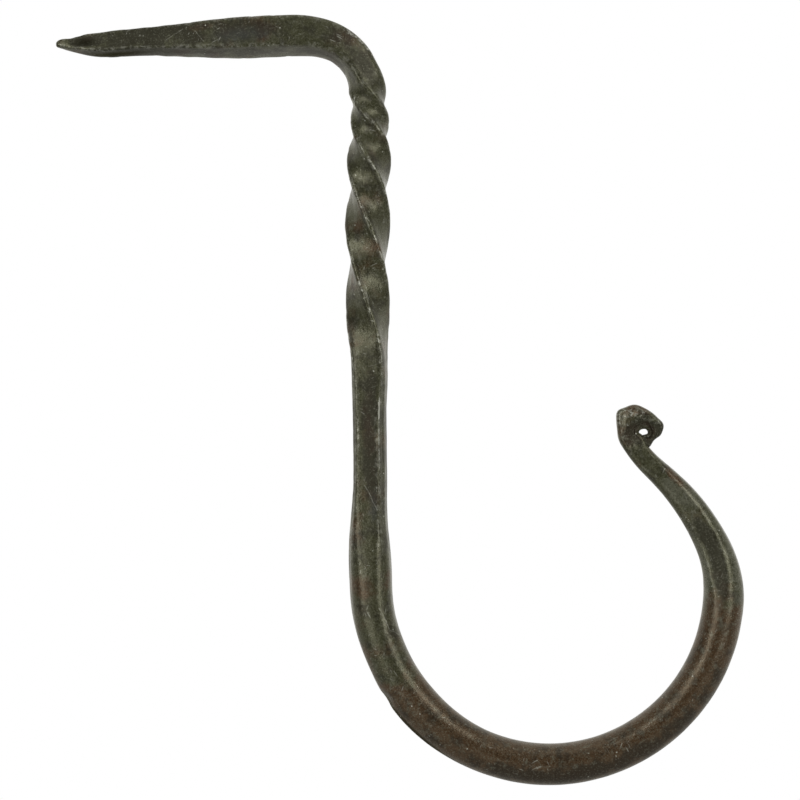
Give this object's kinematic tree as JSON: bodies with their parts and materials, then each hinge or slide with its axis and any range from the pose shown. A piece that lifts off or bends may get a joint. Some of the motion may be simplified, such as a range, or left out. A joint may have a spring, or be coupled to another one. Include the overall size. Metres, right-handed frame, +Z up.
{
  "type": "cup hook",
  "caption": "Hand-forged cup hook: square driven spike, right-angled elbow, twisted neck, straight shank, round open bowl and a tapering limb rolled to a small scroll.",
  "frame": {"origin": "the point where the spike's axis, at its root, meets the plane of the wall that the corners of the twist touch", "axes": "+Z up, along the shank; +X away from the wall, so that the spike points to -X; Y through the bar, across the plane of the hook"},
  "size_m": [0.0984, 0.0064, 0.1101],
  "materials": {
    "forged_steel": "satin"
  },
  "bodies": {
    "root": {"hook": "forged_steel"}
  },
  "joints": []
}
